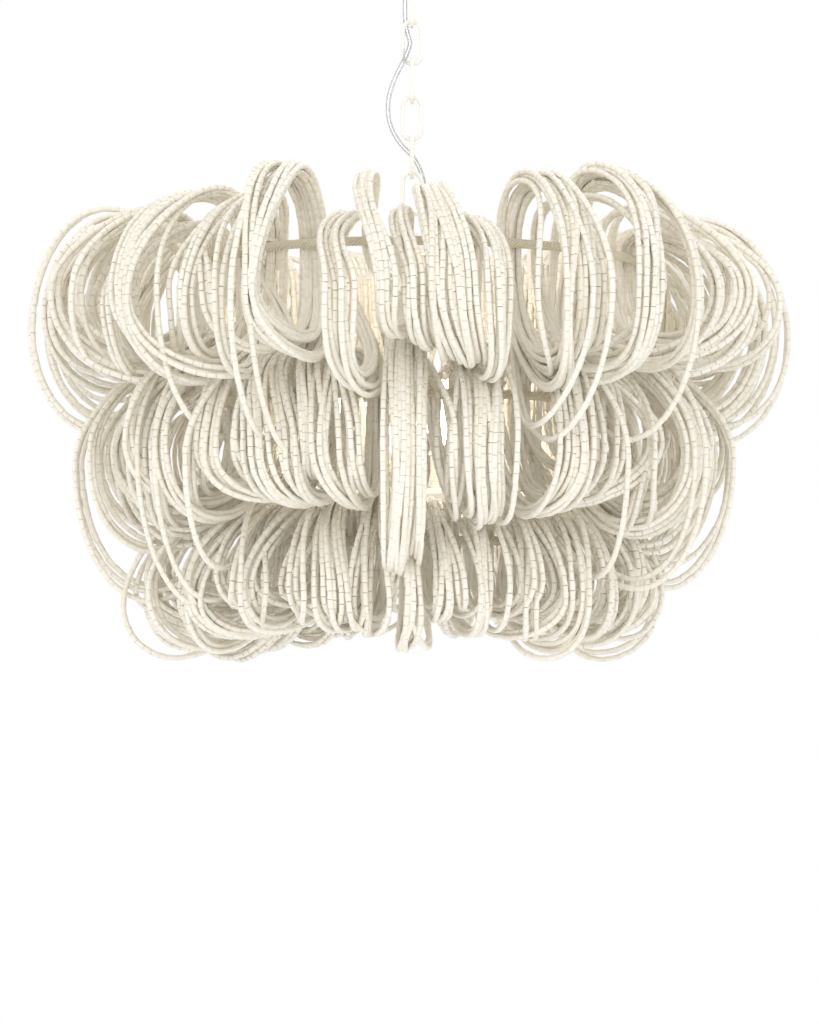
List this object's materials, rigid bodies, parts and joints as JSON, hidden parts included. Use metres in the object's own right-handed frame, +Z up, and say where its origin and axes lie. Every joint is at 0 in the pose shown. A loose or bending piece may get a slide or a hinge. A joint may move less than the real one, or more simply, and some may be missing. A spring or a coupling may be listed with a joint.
{
  "type": "beaded chandelier",
  "caption": "Tiered chandelier of looped strands of tube beads on twine-wrapped rings, lit from inside, hung on a painted chain with its clear lead from a ceiling canopy.",
  "frame": {"origin": "middle of the crossbar's flat face that lies on the ceiling", "axes": "+Z up into the ceiling, -Y towards the front of the picture's view, +X to its right"},
  "size_m": [0.7624, 0.7589, 0.7694],
  "materials": {
    "painted_metal": "cream paint, satin",
    "plain_steel": "plain zinc",
    "twine": "wound natural twine",
    "beads": "cream paint, matt",
    "clear_lead": "clear jacket over silver wire",
    "bushing_plastic": "moulded",
    "holder_plastic": "moulded, semi gloss",
    "frosted_glass": "frosted"
  },
  "bodies": {
    "ceiling": {"ceiling_crossbar": "plain_steel", "box_screw_left": "plain_steel", "box_screw_right": "plain_steel", "screw_loop": "painted_metal", "power_cord": "clear_lead"},
    "canopy": {"canopy": "painted_metal"},
    "collar_nut": {"collar_nut": "painted_metal"},
    "chain_link_1": {"chain_link_1": "painted_metal"},
    "chain_link_2": {"chain_link_2": "painted_metal"},
    "chain_link_3": {"chain_link_3": "painted_metal"},
    "chain_link_4": {"chain_link_4": "painted_metal"},
    "chain_link_5": {"chain_link_5": "painted_metal"},
    "chain_link_6": {"chain_link_6": "painted_metal"},
    "fixture": {"hub_loop": "painted_metal", "hub_block": "painted_metal", "cord_bushing": "bushing_plastic", "stem": "plain_steel", "upper_spacer": "painted_metal", "middle_spacer": "painted_metal", "lower_spacer": "painted_metal", "finial": "painted_metal", "lamp_cluster": "painted_metal", "lampholder_1": "holder_plastic", "lampholder_2": "holder_plastic", "lampholder_3": "holder_plastic", "top_spider": "painted_metal", "middle_spider": "painted_metal", "bottom_spider": "painted_metal", "top_ring": "twine", "middle_ring": "twine", "bottom_ring": "twine", "top_skeins_1": "beads", "top_skeins_2": "beads", "top_skeins_3": "beads", "top_skeins_4": "beads", "top_skeins_5": "beads", "top_skeins_6": "beads", "top_skeins_7": "beads", "top_skeins_8": "beads", "middle_skeins_1": "beads", "middle_skeins_2": "beads", "middle_skeins_3": "beads", "middle_skeins_4": "beads", "middle_skeins_5": "beads", "middle_skeins_6": "beads", "middle_skeins_7": "beads", "middle_skeins_8": "beads", "bottom_skeins_1": "beads", "bottom_skeins_2": "beads", "bottom_skeins_3": "beads", "bottom_skeins_4": "beads", "bottom_skeins_5": "beads", "bottom_skeins_6": "beads", "bottom_skeins_7": "beads", "bottom_skeins_8": "beads"},
    "bulb_1": {"bulb_1": "frosted_glass"},
    "bulb_2": {"bulb_2": "frosted_glass"},
    "bulb_3": {"bulb_3": "frosted_glass"}
  },
  "joints": [
    {"name": "link_1_swing", "type": "hinge", "parent": "ceiling", "child": "chain_link_1", "pos_m": [0, 0, -0.07285], "axis": [1, 0, 0], "range_deg": [-8, 8]},
    {"name": "link_2_swing", "type": "hinge", "parent": "chain_link_1", "child": "chain_link_2", "pos_m": [0, 0, -0.11055], "axis": [0, 1, 0], "range_deg": [-8, 8]},
    {"name": "link_3_swing", "type": "hinge", "parent": "chain_link_2", "child": "chain_link_3", "pos_m": [0, 0, -0.14825], "axis": [1, 0, 0], "range_deg": [-8, 8]},
    {"name": "link_4_swing", "type": "hinge", "parent": "chain_link_3", "child": "chain_link_4", "pos_m": [0, 0, -0.18595], "axis": [0, 1, 0], "range_deg": [-8, 8]},
    {"name": "link_5_swing", "type": "hinge", "parent": "chain_link_4", "child": "chain_link_5", "pos_m": [0, 0, -0.22365], "axis": [1, 0, 0], "range_deg": [-8, 8]},
    {"name": "link_6_swing", "type": "hinge", "parent": "chain_link_5", "child": "chain_link_6", "pos_m": [0, 0, -0.26135], "axis": [0, 1, 0], "range_deg": [-8, 8]},
    {"name": "fixture_swing", "type": "hinge", "parent": "chain_link_6", "child": "fixture", "pos_m": [0, 0, -0.29905], "axis": [1, 0, 0], "range_deg": [-8, 8], "deforming": ["power_cord"]},
    {"name": "canopy_drop", "type": "slide", "parent": "ceiling", "child": "canopy", "axis": [0, 0, -1], "range_m": [0, 0.02]},
    {"name": "collar_nut_turn", "type": "hinge", "parent": "canopy", "child": "collar_nut", "pos_m": [0, 0, -0.0463], "axis": [0, 0, 1], "continuous": true},
    {"name": "bulb_1_pull", "type": "slide", "parent": "fixture", "child": "bulb_1", "axis": [0, 0, 1], "range_m": [0, 0.032]},
    {"name": "bulb_2_pull", "type": "slide", "parent": "fixture", "child": "bulb_2", "axis": [0, 0, 1], "range_m": [0, 0.032]},
    {"name": "bulb_3_pull", "type": "slide", "parent": "fixture", "child": "bulb_3", "axis": [0, 0, 1], "range_m": [0, 0.032]}
  ]
}
